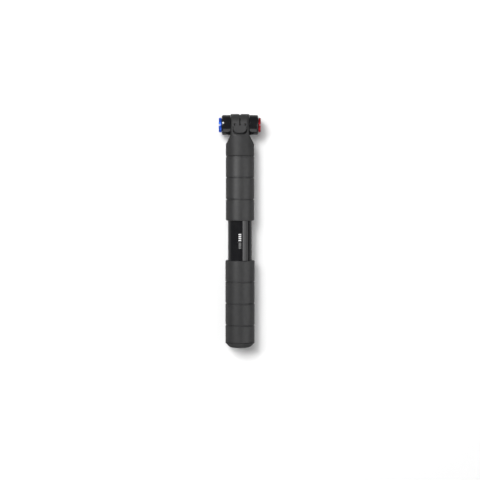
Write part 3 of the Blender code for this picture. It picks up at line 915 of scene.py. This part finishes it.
def make_floor():
    """Pale grey, and glowing towards white where the lights don't reach."""
    mesh = bpy.data.meshes.new("floor")
    work = bmesh.new()
    bmesh.ops.create_grid(work, x_segments=1, y_segments=1, size=FLOOR_HALF)
    work.to_mesh(mesh)
    work.free()
    floor = new_object("floor", mesh)
    floor.location = (0.0, 0.0, -0.1 * MM)
    n = Nodes("pale_floor")
    away = n.add("ShaderNodeVectorMath", operation="LENGTH")
    n.link(n.coordinates, away, 0)
    n.set(
        Emission_Color=(1.0, 1.0, 1.0),
        Emission_Strength=n.spread(away.outputs["Value"], 0.0, 0.95, (0.45, 1.4)),
        Base_Color=n.blend(n.noise(3.0, 2.0), (0.77, 0.77, 0.77), (0.79, 0.79, 0.79)),
        Roughness=0.9,
        Specular_IOR_Level=0.1,
    )
    floor.data.materials.append(n.material)
    floor.visible_glossy = False


def area_light(name, aim, distance, size, power, centre=LIGHT_CENTRE, mirrored=True):
    """A soft panel in the direction aim; size is its extent across, then along the pump.

    A panel that isn't mirrored lights the pump, but its reflection doesn't show.
    """
    light = bpy.data.lights.new(name, "AREA")
    light.shape = "RECTANGLE"
    light.size, light.size_y = size
    light.energy = power
    lamp = new_object(name, light)
    aim = Vector(aim).normalized()
    right = Vector((0.0, 1.0, 0.0)).cross(aim).normalized()
    lamp.location = Vector(centre) + aim * distance
    lamp.rotation_euler = Matrix((right, aim.cross(right), aim)).transposed().to_euler()
    lamp.visible_camera = False
    lamp.visible_glossy = mirrored


def make_world():
    """Dim above, and paler below the horizon, where only reflections can see it."""
    world = bpy.data.worlds.new("soft_studio")
    world.use_nodes = True
    tree = world.node_tree
    place = tree.nodes.new("ShaderNodeTexCoord")
    split = tree.nodes.new("ShaderNodeSeparateXYZ")
    ramp = tree.nodes.new("ShaderNodeMapRange")
    tree.links.new(place.outputs["Generated"], split.inputs[0])
    tree.links.new(split.outputs["Z"], ramp.inputs["Value"])
    ramp.inputs["From Min"].default_value = -0.30
    ramp.inputs["From Max"].default_value = -0.16
    ramp.inputs["To Min"].default_value = 0.45
    ramp.inputs["To Max"].default_value = 0.09
    tree.links.new(ramp.outputs["Result"], tree.nodes["Background"].inputs["Strength"])
    tree.nodes["Background"].inputs["Color"].default_value = (1.0, 1.0, 1.0, 1.0)
    bpy.context.scene.world = world


def make_lights():
    area_light("key", (-0.31, 0.42, 0.85), 1.5, (0.46, 0.46), 12.0)
    area_light("soft_key", (-0.16, 0.36, 0.92), 1.5, (0.80, 0.80), 13.5, mirrored=False)
    area_light("side", (-0.60, 0.20, 0.77), 1.1, (0.30, 0.24), 3.3)
    middle = (0.0, START_Y + 65.0 * MM, LIGHT_CENTRE[2])
    for name, degrees, size, power in (
        ("right_high", 33.0, (0.30, 0.40), 1.15),
        ("right_mid", 48.5, (0.36, 0.50), 1.20),
        ("right_low", 70.0, (0.56, 1.20), 2.60),
    ):
        turn = math.radians(degrees)
        aim = (math.sin(turn), 0.0, math.cos(turn))
        area_light(name, aim, 1.2, size, power, middle)
    area_light("near_panel", (0.0, -0.92, 0.40), 1.2, (0.9, 0.98), 3.9)


def make_camera():
    camera = new_object("camera", bpy.data.cameras.new("camera"))
    camera.data.lens = 86.0
    camera.data.sensor_width = 36.0
    camera.location = (0.0, START_Y + CAMERA_STATION * MM, AXIS_Z + CAMERA_HEIGHT)
    target = Vector((0.0, START_Y + AIM_STATION * MM, AXIS_Z))
    forward = (target - camera.location).normalized()
    right = forward.cross(Vector((0.0, 1.0, 0.0))).normalized()
    facing = Matrix((right, right.cross(forward), -forward)).transposed()
    camera.rotation_euler = facing.to_euler()
    camera.data.clip_start, camera.data.clip_end = 0.05, 20.0
    bpy.context.scene.camera = camera


bpy.context.scene.view_settings.view_transform = "Standard"
make_camera()
dress_cad_nodes()
make_lower_grip()
make_end_cap()
make_handle_tube()
make_bush()
make_upper_grip()
make_barrel()
make_head()
make_lever()
make_shells()
make_collars()
for word, side in SIDES.items():
    make_grommet(word, side)
    make_lever_pin(word, side)
make_floor()
make_world()
make_lights()
